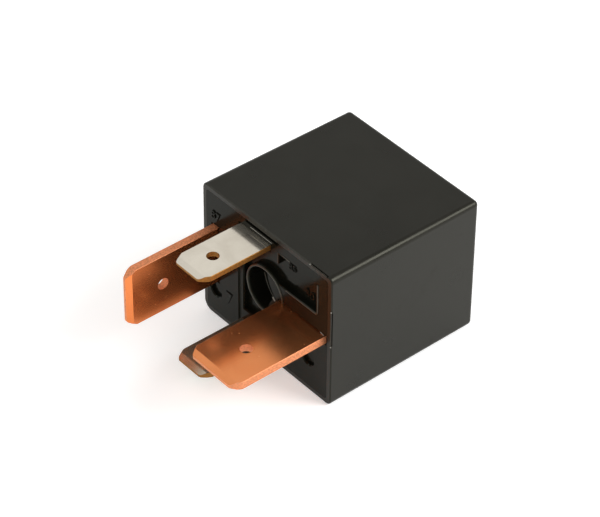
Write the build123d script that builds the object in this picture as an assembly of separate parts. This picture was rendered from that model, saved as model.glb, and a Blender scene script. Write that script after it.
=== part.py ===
from build123d import *
import math
import os

# A sealed automotive power relay, lying on one long side of its cover.
# X runs across the terminal face, Y runs from the blades into the body and Z points up.
# The origin is the centre of the terminal face. Lengths are in millimetres.

# Cover: a five-sided moulded shell
cover_width = 26.9
cover_height = 22.1
cover_length = 26.0
cover_wall = 0.8
cover_end_wall = 1.0
cover_draft = 0.4
cover_edge_radius = 0.9
cover_gate_edge_radius = 1.6
cover_end_radius = 0.65
cover_inner_radius = 0.5
rim_chamfer = 0.16
rim_relief_depth = 0.22
rim_relief_length = 3.4
rim_side_relief_length = 5.8
rim_side_relief_level = 2.5

# Base: the moulded terminal plate
base_thickness = 4.0
seam_gap = 0.03
slot_gap = 0.06
slot_lead_in = 0.18
slot_throat = 2.8
face_edge_chamfer = 0.15

# Power blades, 9.5 by 1.2
power_blade_width = 9.5
power_blade_thickness = 1.2
power_blade_reach = 15.5
power_hole_radius = 0.9
power_hole_from_tip = 6.0
power_corner_cut = 0.95
power_corner_length = 1.5
power_tip_bevel = 0.9
power_tip_drop = 0.38

# Coil blades, 6.3 by 0.8
coil_blade_width = 6.3
coil_blade_thickness = 0.8
coil_blade_reach = 11.5
coil_hole_radius = 0.9
coil_hole_from_tip = 4.4
coil_corner_cut = 0.85
coil_corner_length = 1.55
coil_tip_bevel = 0.9
coil_tip_drop = 0.22

blade_edge_chamfer = 0.08
blade_corner_round = 0.5

# Where the blades stand on the terminal face, from the cover's middle or its edges
blade_87_from_edge = 2.65
blade_87_x = blade_87_from_edge - cover_width / 2
blade_87_z = 0.15
blade_30_from_edge = 5.95
blade_30_x = cover_width / 2 - blade_30_from_edge
blade_30_z = 0.0
coil_blade_from_edge = 2.65
coil_blade_x = -2.35
coil_blade_z = cover_height / 2 - coil_blade_from_edge

# Moulded relief of the terminal face
ring_from_blade_30 = 7.7
ring_x = blade_30_x - ring_from_blade_30
ring_z = 0.45
pocket_depth = 0.85
pocket_left_of_ring = 4.55
pocket_left = ring_x - pocket_left_of_ring
pocket_low_from_edge = 5.25
pocket_low = pocket_low_from_edge - cover_height / 2
pocket_top_from_edge = 2.45
pocket_top = cover_height / 2 - pocket_top_from_edge
pocket_shelf_drop = 2.0
pocket_shelf = pocket_top - pocket_shelf_drop
pocket_step_from_ring = 2.8
pocket_step_x = ring_x + pocket_step_from_ring
pocket_right_from_edge = 2.95
pocket_right = cover_width / 2 - pocket_right_from_edge
pocket_sill_above_ring = 2.95
pocket_sill = ring_z + pocket_sill_above_ring
land_from_blade_30 = 5.5
land_left = blade_30_x - land_from_blade_30
pocket_corner_radius = 0.35
ring_blend_radius = 0.8
ring_radius = 3.95
ring_wall = 0.5
well_depth = 2.4
well_shoulder_x = 0.3
well_nose_x = 1.95
well_side_bow = 0.36
well_nose_radius = 0.4
well_tip_radius = 0.25
gate_radius = 1.15
gate_depth = 0.5
gate_left_from_edge = 2.65
gate_left_from_foot = 4.65
gate_left = (gate_left_from_edge - cover_width / 2, gate_left_from_foot - cover_height / 2)
gate_right_from_edge = 4.65
gate_right_from_foot = 5.55
gate_right = (cover_width / 2 - gate_right_from_edge, gate_right_from_foot - cover_height / 2)
groove_from_pocket = 0.85
groove_x = pocket_left - groove_from_pocket
groove_radius = 0.4
groove_depth = 0.2
groove_from_foot = 1.85
groove_low = groove_from_foot - cover_height / 2
groove_above_ring = 0.35
groove_high = ring_z + groove_above_ring
vent_length = 6.7
vent_centre_x = -0.95
vent_height = 0.45
vent_depth = 1.0

# Snap latches between base and cover
latch_from_edge = 4.85
latch_x = cover_width / 2 - latch_from_edge
latch_length = 3.2
latch_height = 0.3
latch_start = 1.9
latch_run = 1.2

# Magnet frame: the yoke leaves room for the armature, the spring and the stop above it
yoke_thickness = 1.8
yoke_from_edge = 3.05
yoke_outer_x = cover_width / 2 - yoke_from_edge
yoke_inner_x = yoke_outer_x - yoke_thickness
yoke_headroom = 5.15
yoke_rise = cover_length - cover_end_wall - base_thickness - yoke_headroom
yoke_bend_radius = 2.0
yoke_inside_radius = 0.18
pivot_radius = 0.3
tongue_from_core = 1.5
tongue_from_yoke = 0.1
fit_gap = 0.03
foot_rib_height = 1.2
foot_rib_wall = 0.8
foot_rib_inset = 0.1

# Coil: the spool fills the room between terminal 87, the yoke and the two coil posts
bobbin_from_blade_87 = 3.8
bobbin_from_yoke = 0.2
bobbin_from_posts = 0.6
bobbin_left = blade_87_x + power_blade_thickness / 2 + bobbin_from_blade_87
bobbin_right = yoke_inner_x - bobbin_from_yoke
bobbin_across = bobbin_right - bobbin_left
bobbin_height = 2 * (coil_blade_z - coil_blade_thickness / 2 - bobbin_from_posts)
bobbin_gap = 0.05
bobbin_hub_wall = 0.85
winding_below_flange = 0.5
winding_radius = min(bobbin_across, bobbin_height) / 2 - winding_below_flange
coil_x = (bobbin_left + bobbin_right) / 2
core_radius = (winding_radius - bobbin_gap - bobbin_hub_wall) / 2
core_shoulder = 1.0
core_spigot_radius = core_radius - core_shoulder
pole_overhang = 1.5
pole_radius = core_radius + pole_overhang
pole_thickness = 1.2
pole_recess = 0.05
bobbin_flange_thickness = 1.0
bobbin_flange_radius = 2.5
bobbin_length = yoke_rise - yoke_thickness - pole_thickness - pole_recess
winding_end_gap = 0.02
yoke_inside_flange = 1.4
yoke_width = bobbin_height - 2 * yoke_inside_flange
yoke_foot_inset = 1.8
yoke_foot_end_x = bobbin_left + yoke_foot_inset

# Armature, spring and contacts
armature_thickness = 1.5
armature_side_gap = 0.8
armature_width = yoke_width - 2 * armature_side_gap
armature_tip_taper = 1.7
armature_tip_width = armature_width - 2 * armature_tip_taper
armature_tip_inset = 1.2
armature_tip_x = bobbin_left + armature_tip_inset
armature_heel = 0.1
armature_heel_chamfer = 1.15
pivot_gap = 0.05
open_angle = 3.2
spring_thickness = 0.25
contact_from_blade_87 = 2.0
contact_x = blade_87_x + contact_from_blade_87
contact_radius = 1.9
spring_side_gap = 0.7
spring_width = armature_width - 2 * spring_side_gap
spring_tip_width = 4.6
spring_past_contact = 2.5
spring_tip_x = contact_x - spring_past_contact
spring_neck_inset = 0.6
spring_neck_x = armature_tip_x + spring_neck_inset
spring_bend_radius = 1.45
spring_leg_below_rivets = 2.9
spring_strap_width = 2.3
spring_window_width = spring_width - 2 * spring_strap_width
spring_window_reach = 2.6
contact_height = 0.9
contact_chamfer = 0.25
contact_shank_radius = 0.95
contact_head_radius = 1.2
contact_head_height = 0.35
contact_closed_gap = 0.05
rivet_spread = spring_width / 3
rivet_shank_least = 0.25
rivet_shank_radius = rivet_shank_least + rivet_spread / 4
rivet_head_overhang = 0.6
rivet_head_radius = rivet_shank_radius + rivet_head_overhang
rivet_head_height = 0.55
armature_rivet_past_core = 1.5
armature_rivet_x = coil_x + armature_rivet_past_core
yoke_rivet_below_middle = 0.425

# Fixed contact arm of terminal 87
arm_width = 6.0
arm_end_x = contact_x + contact_radius
arm_bend_radius = 1.6
arm_inside_radius = 0.4

# Rest stop
stop_thickness = 0.8
stop_leg_from_blade_87 = 0.7
stop_leg_z = blade_87_z + power_blade_width / 2 + stop_leg_from_blade_87
stop_leg_width = 2.6
stop_outside_blade_87 = 0.2
stop_x = blade_87_x - stop_outside_blade_87
stop_bar = 0.9
stop_reach = 1.0
stop_gap = 0.05
stop_root = 2.4

# Coil posts and lead wires
post_width = 2.4
post_offset = -1.35
post_end = 9.2
post_notch = 0.25
lead_radius = 0.22
lead_level = 7.4
wrap_thickness = 0.35
wrap_length = 1.2
wrap_start = 7.6

# Levels and places that follow from the sizes above
inner_face = base_thickness
foot_top = inner_face + yoke_thickness
yoke_top = inner_face + yoke_rise
yoke_rivet_level = (inner_face + yoke_top) / 2 - yoke_rivet_below_middle
spring_leg_end = yoke_rivet_level - spring_leg_below_rivets
pivot_x = yoke_outer_x - pivot_radius
pivot_y = yoke_top - pivot_radius
armature_under = yoke_top + pivot_gap
armature_top = armature_under + armature_thickness
spring_top = armature_top + spring_thickness
bobbin_top = foot_top + bobbin_length
contact_face = armature_top - contact_height
fixed_face = contact_face - contact_closed_gap
arm_top = fixed_face - contact_height
arm_under = arm_top - power_blade_thickness
spring_leg_x = yoke_outer_x + fit_gap
pivot_axis = Axis((pivot_x, pivot_y, 0), (0, 0, 1))


def between(sketch, start, end):
    """A sketch drawn in x and z, made solid between two depths along Y."""
    return extrude(Plane.XZ.offset(-start) * sketch, amount=start - end)


def drafted(sketch, length):
    """A sketch drawn in x and z, made solid from the terminal face and drafted inwards."""
    return extrude(Plane.XZ * sketch, amount=length, dir=(0, 1, 0), taper=cover_draft)


def drafted_core(inset, length):
    """The draft's inner side: the outline moved in by an inset, with one corner radius all along."""
    narrowing = length * math.tan(math.radians(cover_draft))
    near = body_outline(inset, cover_inner_radius, cover_inner_radius)
    far = body_outline(inset + narrowing, cover_inner_radius, cover_inner_radius)
    return loft([Plane.XZ * near, Plane.XZ.offset(-length) * far], ruled=True)


def side_profile(points, low, high):
    """A closed outline drawn in x and y, made solid between two heights."""
    face = make_face(Polyline(*points, close=True))
    return extrude(Plane.XY.offset(low) * face, amount=high - low)


def block(x0, x1, y0, y1, z0, z1):
    """A plain block between two corners."""
    size = (x1 - x0, y1 - y0, z1 - z0)
    centre = ((x0 + x1) / 2, (y0 + y1) / 2, (z0 + z1) / 2)
    return Pos(*centre) * Box(*size)


def rod(x, z, radius, start, end):
    """A round bar along Y."""
    return between(Pos(x, z) * Circle(radius), start, end)


def corner_at(shape, x, y):
    """The corner of a sketch that lies nearest to a point."""
    return shape.vertices().sort_by(lambda v: (v.X - x) ** 2 + (v.Y - y) ** 2)[0]


def rounded_at(shape, places):
    """A sketch with the corners nearest to the given points rounded."""
    for x, y, radius in places:
        shape = fillet(corner_at(shape, x, y), radius)
    return shape


def body_outline(inset, radius, gate_radius_here):
    """The cover's outline on the terminal face, moved in by an inset."""
    half_x = cover_width / 2 - inset
    half_z = cover_height / 2 - inset
    outline = Rectangle(2 * half_x, 2 * half_z)
    places = [
        (half_x, half_z, radius),
        (-half_x, half_z, radius),
        (half_x, -half_z, radius),
        (-half_x, -half_z, gate_radius_here),
    ]
    return rounded_at(outline, places)


def latch_blocks(clearance):
    """Four wedge nubs on the long sides, or the recesses that they snap into."""
    outer = cover_height / 2 - cover_wall + latch_height + clearance
    inner = cover_height / 2 - cover_wall - seam_gap - 1.0
    ramp = [
        (latch_start - clearance, outer),
        (latch_start + latch_run / 3, outer),
        (latch_start + latch_run + clearance, outer - latch_height),
        (latch_start + latch_run + clearance, inner),
        (latch_start - clearance, inner),
    ]
    length = latch_length + 2 * clearance
    face = Plane.YZ.offset(-length / 2) * make_face(Polyline(*ramp, close=True))
    nub = extrude(face, amount=length)
    nubs = []
    for x in (-latch_x, latch_x):
        nubs += [Pos(x, 0, 0) * nub, Pos(x, 0, 0) * nub.mirror(Plane.XY)]
    return nubs


def make_cover():
    """The shell: drafted outside and inside, with rounded long edges and end edges."""
    shell = drafted(body_outline(0, cover_edge_radius, cover_gate_edge_radius), cover_length)
    shell = fillet(shell.faces().sort_by(Axis.Y)[-1].edges(), cover_end_radius)
    shell = chamfer(shell.faces().sort_by(Axis.Y)[0].edges(), rim_chamfer)
    shell -= drafted_core(cover_wall, cover_length - cover_end_wall)
    for recess in latch_blocks(seam_gap):
        shell -= recess
    edge_x = cover_width / 2
    edge_z = cover_height / 2
    relief_end = edge_x - cover_edge_radius
    relief_start = relief_end - rim_relief_length
    side_low = rim_side_relief_level - rim_side_relief_length / 2
    side_high = rim_side_relief_level + rim_side_relief_length / 2
    reliefs = [
        (relief_start, relief_end, edge_z - rim_relief_depth, edge_z),
        (edge_x - rim_relief_depth, edge_x, side_low, side_high),
    ]
    for x0, x1, z0, z1 in reliefs:
        shell -= block(x0, x1, 0, rim_relief_depth, z0, z1)
    return shell


def blade_body(
    width, thickness, reach, cut, cut_length, bevel, drop, hole_radius, hole_from_tip, inner_end
):
    """A flat quick-connect blade along Y, centred on x and z, with a coined tip and a detent hole."""
    half = width / 2
    plan = [
        (-half, inner_end),
        (-half, cut_length - reach),
        (cut - half, -reach),
        (half - cut, -reach),
        (half, cut_length - reach),
        (half, inner_end),
    ]
    outline = make_face(Polyline(*plan, close=True))
    corners = [(x, y, blade_corner_round) for x, y in plan[1:5]]
    outline = rounded_at(outline, corners)
    outline -= Pos(0, hole_from_tip - reach) * Circle(hole_radius)
    blade = extrude(Plane.XY.offset(-thickness / 2) * outline, amount=thickness)
    for face in (blade.faces().sort_by(Axis.Z)[0], blade.faces().sort_by(Axis.Z)[-1]):
        rim = face.outer_wire().edges().filter_by(lambda e: e.center().Y < inner_end - 0.01)
        blade = chamfer(rim, blade_edge_chamfer)
    slim = thickness / 2 - drop
    side = [
        (inner_end, -thickness / 2),
        (bevel - reach, -thickness / 2),
        (-reach, -slim),
        (-reach, slim),
        (bevel - reach, thickness / 2),
        (inner_end, thickness / 2),
    ]
    profile = make_face(Polyline(*side, close=True))
    return blade & extrude(Plane.YZ.offset(-half) * profile, amount=width)


def power_blade():
    return blade_body(
        power_blade_width,
        power_blade_thickness,
        power_blade_reach,
        power_corner_cut,
        power_corner_length,
        power_tip_bevel,
        power_tip_drop,
        power_hole_radius,
        power_hole_from_tip,
        slot_throat,
    )


def coil_blade():
    return blade_body(
        coil_blade_width,
        coil_blade_thickness,
        coil_blade_reach,
        coil_corner_cut,
        coil_corner_length,
        coil_tip_bevel,
        coil_tip_drop,
        coil_hole_radius,
        coil_hole_from_tip,
        slot_throat,
    )


tongue_x0 = coil_x + core_spigot_radius + tongue_from_core
tongue_x1 = yoke_inner_x - tongue_from_yoke
post_x0 = coil_blade_x + post_offset - post_width / 2
post_x1 = post_x0 + post_width


def make_terminal_30():
    """The common terminal: its tongue passes through the base and is staked in the yoke's foot."""
    half = power_blade_thickness / 2
    tongue = block(
        tongue_x0, tongue_x1, slot_throat, foot_top, blade_30_z - half, blade_30_z + half
    )
    return Pos(blade_30_x, 0, blade_30_z) * power_blade() + tongue


def make_terminal_87():
    """The load terminal: its strip climbs inside the cover and bends over to carry the fixed contact."""
    left = blade_87_x - power_blade_thickness / 2
    right = blade_87_x + power_blade_thickness / 2
    points = [
        (left, slot_throat),
        (left, arm_top),
        (arm_end_x, arm_top),
        (arm_end_x, arm_under),
        (right, arm_under),
        (right, slot_throat),
    ]
    profile = make_face(Polyline(*points, close=True))
    bends = [(left, arm_top, arm_bend_radius), (right, arm_under, arm_inside_radius)]
    profile = rounded_at(profile, bends)
    low = blade_87_z - arm_width / 2
    arm = extrude(Plane.XY.offset(low) * profile, amount=arm_width)
    arm -= rod(contact_x, blade_87_z, contact_shank_radius + fit_gap, arm_under - 1, arm_top + 1)
    return Pos(blade_87_x, 0, blade_87_z) * Rot(0, 90, 0) * power_blade() + arm


def make_coil_terminal(z):
    """A coil terminal: the blade outside and a narrow notched post for the lead wire inside."""
    half = coil_blade_thickness / 2
    post = block(post_x0, post_x1, slot_throat, post_end, z - half, z + half)
    notch_end = wrap_start + wrap_length
    for x0, x1 in ((post_x0, post_x0 + post_notch), (post_x1 - post_notch, post_x1)):
        post -= block(x0, x1, wrap_start, notch_end, z - half, z + half)
    return Pos(coil_blade_x, 0, z) * coil_blade() + post


def slot_cut(x, z, size_x, size_z, inner_x0, inner_x1, inner_z0, inner_z1):
    """The opening for one blade: a lead-in, the blade's own slot and a narrower throat inside."""
    gap = 2 * slot_gap
    mouth = Pos(x, z) * Rectangle(size_x + gap, size_z + gap)
    wide = Pos(x, z) * Rectangle(
        size_x + gap + 2 * slot_lead_in, size_z + gap + 2 * slot_lead_in
    )
    lead_in = loft([Plane.XZ * wide, Plane.XZ.offset(-slot_lead_in) * mouth])
    throat = block(
        inner_x0 - slot_gap,
        inner_x1 + slot_gap,
        slot_throat - 0.5,
        base_thickness + 1,
        inner_z0 - slot_gap,
        inner_z1 + slot_gap,
    )
    return lead_in + between(mouth, 0, slot_throat) + throat


def blade_slots():
    """The four blade openings of the base."""
    half_power = power_blade_thickness / 2
    half_coil = coil_blade_thickness / 2
    slots = slot_cut(
        blade_30_x,
        blade_30_z,
        power_blade_width,
        power_blade_thickness,
        tongue_x0,
        tongue_x1,
        blade_30_z - half_power,
        blade_30_z + half_power,
    )
    slots += slot_cut(
        blade_87_x,
        blade_87_z,
        power_blade_thickness,
        power_blade_width,
        blade_87_x - half_power,
        blade_87_x + half_power,
        blade_87_z - arm_width / 2,
        blade_87_z + arm_width / 2,
    )
    for z in (-coil_blade_z, coil_blade_z):
        slots += slot_cut(
            coil_blade_x,
            z,
            coil_blade_width,
            coil_blade_thickness,
            post_x0,
            post_x1,
            z - half_coil,
            z + half_coil,
        )
    return slots


def pocket_outline():
    """The shallow pocket that runs round the ring, under blade 85 and up to the right."""
    points = [
        (pocket_left, pocket_low),
        (land_left, pocket_low),
        (land_left, pocket_sill),
        (pocket_right, pocket_sill),
        (pocket_right, pocket_top),
        (pocket_step_x, pocket_top),
        (pocket_step_x, pocket_shelf),
        (pocket_left, pocket_shelf),
    ]
    outline = make_face(Polyline(*points, close=True))
    outline -= Pos(ring_x, ring_z) * Circle(ring_radius)
    sill_meet = ring_x + math.sqrt(ring_radius**2 - (pocket_sill - ring_z) ** 2)
    land_meet = ring_z - math.sqrt(ring_radius**2 - (land_left - ring_x) ** 2)
    radius = pocket_corner_radius
    places = [
        (sill_meet, pocket_sill, ring_blend_radius),
        (land_left, land_meet, radius),
        (pocket_right, pocket_sill, radius),
        (pocket_right, pocket_top, radius),
        (pocket_step_x, pocket_top, radius),
        (pocket_step_x, pocket_shelf, radius),
    ]
    return rounded_at(outline, places)


def well_outline():
    """The leaf-shaped well inside the ring: round on the left, drawn to a blunt nose on the right."""
    radius = ring_radius - ring_wall
    rise = math.sqrt(radius**2 - well_shoulder_x**2)
    top = (ring_x + well_shoulder_x, ring_z + rise)
    bottom = (ring_x + well_shoulder_x, ring_z - rise)
    nose = (ring_x + well_nose_x, ring_z)
    mid_x = (top[0] + nose[0]) / 2 - well_side_bow
    upper_mid = (mid_x, ring_z + rise / 2)
    lower_mid = (mid_x, ring_z - rise / 2)
    arcs = [
        ThreePointArc(top, (ring_x - radius, ring_z), bottom),
        ThreePointArc(bottom, lower_mid, nose),
        ThreePointArc(nose, upper_mid, top),
    ]
    outline = make_face(Curve() + arcs)
    places = [
        (nose[0], nose[1], well_nose_radius),
        (top[0], top[1], well_tip_radius),
        (bottom[0], bottom[1], well_tip_radius),
    ]
    return rounded_at(outline, places)


def make_base():
    """The terminal plate, with its moulded relief outside and its seats for the magnet inside."""
    inset = cover_wall + seam_gap
    plate = drafted_core(inset, base_thickness)
    plate -= between(pocket_outline(), 0, pocket_depth)
    plate -= between(well_outline(), 0, well_depth)
    for x, z in (gate_left, gate_right):
        plate -= rod(x, z, gate_radius, 0, gate_depth)
    mouths = plate.edges().filter_by(lambda e: abs(e.bounding_box().max.Y) < 1e-6)
    inner_mouths = mouths.filter_by(lambda e: abs(e.center().X) < pocket_right + 1.6)
    inner_mouths = inner_mouths.filter_by(lambda e: abs(e.center().Z) < pocket_top + 0.5)
    plate = chamfer(inner_mouths, face_edge_chamfer)
    groove_length = groove_high - groove_low
    groove_y = groove_depth - groove_radius
    groove_middle = (groove_low + groove_high) / 2
    plate -= Pos(groove_x, groove_y, groove_middle) * Cylinder(groove_radius, groove_length)
    vent_x0 = vent_centre_x - vent_length / 2
    vent_x1 = vent_centre_x + vent_length / 2
    edge_z = cover_height / 2 - inset
    for side in (-1, 1):
        low, high = sorted((side * (edge_z - vent_height), side * (edge_z + 1)))
        plate -= block(vent_x0, vent_x1, -1, vent_depth, low, high)
    plate -= blade_slots()
    plate -= stop_leg(slot_gap)
    for nub in latch_blocks(0):
        plate += nub
    rib_inner = yoke_width / 2 + 2 * fit_gap
    for low in (rib_inner, -rib_inner - foot_rib_wall):
        x0 = yoke_foot_end_x + foot_rib_inset
        x1 = yoke_inner_x - foot_rib_inset
        high = low + foot_rib_wall
        plate += block(x0, x1, base_thickness, base_thickness + foot_rib_height, low, high)
    return plate


def make_yoke():
    """The L-shaped iron frame, with a rounded edge that the armature rocks on."""
    points = [
        (yoke_foot_end_x, inner_face),
        (yoke_outer_x, inner_face),
        (yoke_outer_x, yoke_top),
        (yoke_inner_x, yoke_top),
        (yoke_inner_x, foot_top),
        (yoke_foot_end_x, foot_top),
    ]
    profile = make_face(Polyline(*points, close=True))
    places = [
        (yoke_outer_x, inner_face, yoke_bend_radius),
        (yoke_inner_x, foot_top, yoke_inside_radius),
        (yoke_outer_x, yoke_top, pivot_radius),
    ]
    profile = rounded_at(profile, places)
    yoke = extrude(Plane.XY.offset(-yoke_width / 2) * profile, amount=yoke_width)
    yoke -= rod(coil_x, 0, core_spigot_radius + fit_gap, inner_face - 1, foot_top + 1)
    half = power_blade_thickness / 2 + fit_gap
    yoke -= block(
        tongue_x0 - fit_gap,
        tongue_x1 + fit_gap,
        inner_face - 1,
        foot_top + 1,
        blade_30_z - half,
        blade_30_z + half,
    )
    for z in (-rivet_spread, rivet_spread):
        hole = Cylinder(rivet_shank_radius + fit_gap, 3 * yoke_thickness, rotation=(0, 90, 0))
        yoke -= Pos((yoke_outer_x + yoke_inner_x) / 2, yoke_rivet_level, z) * hole
    return yoke


def make_core():
    """The iron core: a spigot staked in the yoke, the shaft and the wider pole face."""
    core = rod(coil_x, 0, core_spigot_radius, inner_face, foot_top)
    core += rod(coil_x, 0, core_radius, foot_top, bobbin_top)
    return core + rod(coil_x, 0, pole_radius, bobbin_top, bobbin_top + pole_thickness)


def make_bobbin():
    """The moulded spool: a hub between two rounded flanges."""
    hub_radius = core_radius + bobbin_gap + bobbin_hub_wall
    flange = RectangleRounded(bobbin_across, bobbin_height, bobbin_flange_radius)
    plate = Pos(coil_x, 0) * flange
    spool = rod(coil_x, 0, hub_radius, foot_top, bobbin_top)
    spool += between(plate, foot_top, foot_top + bobbin_flange_thickness)
    spool += between(plate, bobbin_top - bobbin_flange_thickness, bobbin_top)
    return spool - rod(coil_x, 0, core_radius + bobbin_gap, foot_top - 1, bobbin_top + 1)


def make_winding():
    """The copper winding as one sleeve between the flanges."""
    low = foot_top + bobbin_flange_thickness + winding_end_gap
    high = bobbin_top - bobbin_flange_thickness - winding_end_gap
    hub_radius = core_radius + bobbin_gap + bobbin_hub_wall
    sleeve = rod(coil_x, 0, winding_radius, low, high)
    return sleeve - rod(coil_x, 0, hub_radius + winding_end_gap, low - 1, high + 1)


def make_coil_lead(side):
    """One end of the winding: a wire out to the post and its soldered wrap."""
    half = coil_blade_thickness / 2
    post_middle = (post_x0 + post_x1) / 2
    across = abs(post_middle - coil_x) - lead_radius
    surface = math.sqrt(winding_radius**2 - across**2) + winding_end_gap
    post_face = coil_blade_z - half - wrap_thickness
    wrap_middle = wrap_start + wrap_length / 2
    start = Vector(post_middle, lead_level, surface)
    run = Vector(post_middle, wrap_middle, post_face + lead_radius) - start
    wire = extrude(Plane(start, z_dir=run) * Circle(lead_radius), amount=run.length)
    outer = (post_width - 2 * post_notch + 2 * wrap_thickness, 2 * half + 2 * wrap_thickness)
    inner = (post_width - 2 * post_notch + 2 * fit_gap, 2 * half + 2 * fit_gap)
    ring = RectangleRounded(*outer, wrap_thickness) - Rectangle(*inner)
    place = Pos(post_middle, coil_blade_z)
    wrap = between(place * ring, wrap_start + fit_gap, wrap_start + wrap_length - fit_gap)
    hollow = between(place * Rectangle(*inner), wrap_start, wrap_start + wrap_length)
    lead = wrap + (wire - hollow)
    return lead if side > 0 else lead.mirror(Plane.XY)


def opened(piece):
    """A piece of the armature, drawn closed, turned back to where it rests."""
    return piece.rotate(pivot_axis, -open_angle)


def make_armature():
    """The iron flap, narrower at its free end and chamfered at its heel."""
    heel_x = pivot_x + armature_heel
    half = armature_width / 2
    tip = armature_tip_width / 2
    taper_x = armature_tip_x + (half - tip)
    plan = [
        (heel_x, -half),
        (heel_x, half),
        (taper_x, half),
        (armature_tip_x, tip),
        (armature_tip_x, -tip),
        (taper_x, -half),
    ]
    flat = [(x, z) for x, z in plan]
    plate = between(make_face(Polyline(*flat, close=True)), armature_under, armature_top)
    heel_edge = plate.edges().filter_by(Axis.Z).sort_by(lambda e: e.center().X + e.center().Y)[-1]
    plate = chamfer(heel_edge, armature_heel_chamfer)
    for z in (-rivet_spread, rivet_spread):
        hole_radius = rivet_shank_radius + fit_gap
        plate -= rod(armature_rivet_x, z, hole_radius, armature_under - 1, armature_top + 1)
    return opened(plate)


def make_contact_spring():
    """The leaf spring: it carries the contact, lies on the armature and bends down the yoke."""
    middle_y = armature_top + spring_thickness / 2
    leg_x = spring_leg_x + spring_thickness / 2
    turn = math.radians(open_angle)

    def at_rest(x):
        dx = x - pivot_x
        dy = middle_y - pivot_y
        rise = -dx * math.sin(turn) + dy * math.cos(turn)
        return (pivot_x + dx * math.cos(turn) + dy * math.sin(turn), pivot_y + rise)

    tip = at_rest(spring_tip_x)
    shoulder = at_rest(pivot_x)
    slope = (shoulder[1] - tip[1]) / (shoulder[0] - tip[0])
    knee = (leg_x, tip[1] + slope * (leg_x - tip[0]))
    path = FilletPolyline(tip, knee, (leg_x, spring_leg_end), radius=spring_bend_radius)
    section = Plane(path @ 0, x_dir=(0, 0, 1), z_dir=path % 0)
    leaf = sweep(section * Rectangle(spring_width, spring_thickness), path=path)
    half = spring_width / 2
    tip_half = spring_tip_width / 2
    neck_x = spring_neck_x - (half - tip_half)
    for side in (-1, 1):
        trim = [
            (spring_tip_x - 1, side * tip_half),
            (neck_x, side * tip_half),
            (spring_neck_x, side * half),
            (spring_neck_x, side * (half + 1)),
            (spring_tip_x - 1, side * (half + 1)),
        ]
        cutter = make_face(Polyline(*trim, close=True))
        leaf -= opened(between(cutter, armature_under, spring_top + 1))
    window_half = spring_window_width / 2
    leaf -= block(
        pivot_x - spring_window_reach,
        leg_x + 1,
        pivot_y - spring_window_reach,
        spring_top + 1,
        -window_half,
        window_half,
    )
    holes = [(contact_x, 0, contact_shank_radius)]
    for z in (-rivet_spread, rivet_spread):
        holes.append((armature_rivet_x, z, rivet_shank_radius))
        leg_hole = Cylinder(rivet_shank_radius + fit_gap, 2, rotation=(0, 90, 0))
        leaf -= Pos(leg_x, yoke_rivet_level, z) * leg_hole
    for x, z, radius in holes:
        leaf -= opened(rod(x, z, radius + fit_gap, armature_top - 1, spring_top + 1))
    return leaf


def make_moving_contact():
    """The silver rivet under the spring's free end."""
    button = rod(contact_x, 0, contact_radius, contact_face, armature_top)
    button = chamfer(button.faces().sort_by(Axis.Y)[0].edges(), contact_chamfer)
    button += rod(contact_x, 0, contact_shank_radius, armature_top, spring_top)
    head_top = spring_top + contact_head_height
    return opened(button + rod(contact_x, 0, contact_head_radius, spring_top, head_top))


def make_fixed_contact():
    """The silver rivet on the arm of terminal 87."""
    button = rod(contact_x, blade_87_z, contact_radius, arm_top, fixed_face)
    button = chamfer(button.faces().sort_by(Axis.Y)[-1].edges(), contact_chamfer)
    return button + rod(contact_x, blade_87_z, contact_shank_radius, arm_under, arm_top)


def rivet_head(length):
    """A headed rivet along Z: the shank below zero and the head above."""
    head = Pos(0, 0, rivet_head_height / 2) * Cylinder(rivet_head_radius, rivet_head_height)
    head = chamfer(head.edges().sort_by(Axis.Z)[-1], rivet_head_height * 0.6)
    return head + Pos(0, 0, -length / 2) * Cylinder(rivet_shank_radius, length)


def make_yoke_rivet(side):
    """A rivet that holds the spring's leg to the yoke."""
    seat = spring_leg_x + spring_thickness
    rivet = rivet_head(seat - yoke_inner_x)
    return Pos(seat, yoke_rivet_level, side * rivet_spread) * Rot(0, 90, 0) * rivet


def make_armature_rivet(side):
    """A rivet that holds the spring to the armature."""
    rivet = rivet_head(spring_top - armature_under)
    return opened(Pos(armature_rivet_x, spring_top, side * rivet_spread) * Rot(-90, 0, 0) * rivet)


def stop_leg(clearance):
    """The rest stop's root in the base, or the blind slot that holds it."""
    return block(
        stop_x - clearance,
        stop_x + stop_thickness + clearance,
        base_thickness - stop_root - clearance,
        base_thickness + 1,
        stop_leg_z - clearance,
        stop_leg_z + stop_leg_width + clearance,
    )


def make_rest_stop():
    """A stamped hook whose bar the spring's free end rests against."""
    turn = math.radians(open_angle)
    reach = pivot_x - stop_x
    lift = spring_top - pivot_y
    bar_low = pivot_y + reach * math.sin(turn) + lift * math.cos(turn) + stop_gap
    bar_high = bar_low + stop_bar
    outline = [
        (base_thickness - stop_root, stop_leg_z),
        (bar_low, stop_leg_z),
        (bar_low, -stop_reach),
        (bar_high, -stop_reach),
        (bar_high, stop_leg_z + stop_leg_width),
        (base_thickness - stop_root, stop_leg_z + stop_leg_width),
    ]
    plate = make_face(Polyline(*outline, close=True))
    places = [
        (bar_low, stop_leg_z, stop_thickness / 2),
        (bar_high, stop_leg_z + stop_leg_width, stop_bar),
    ]
    plate = rounded_at(plate, places)
    return extrude(Plane.YZ.offset(stop_x) * plate, amount=stop_thickness)


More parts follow.
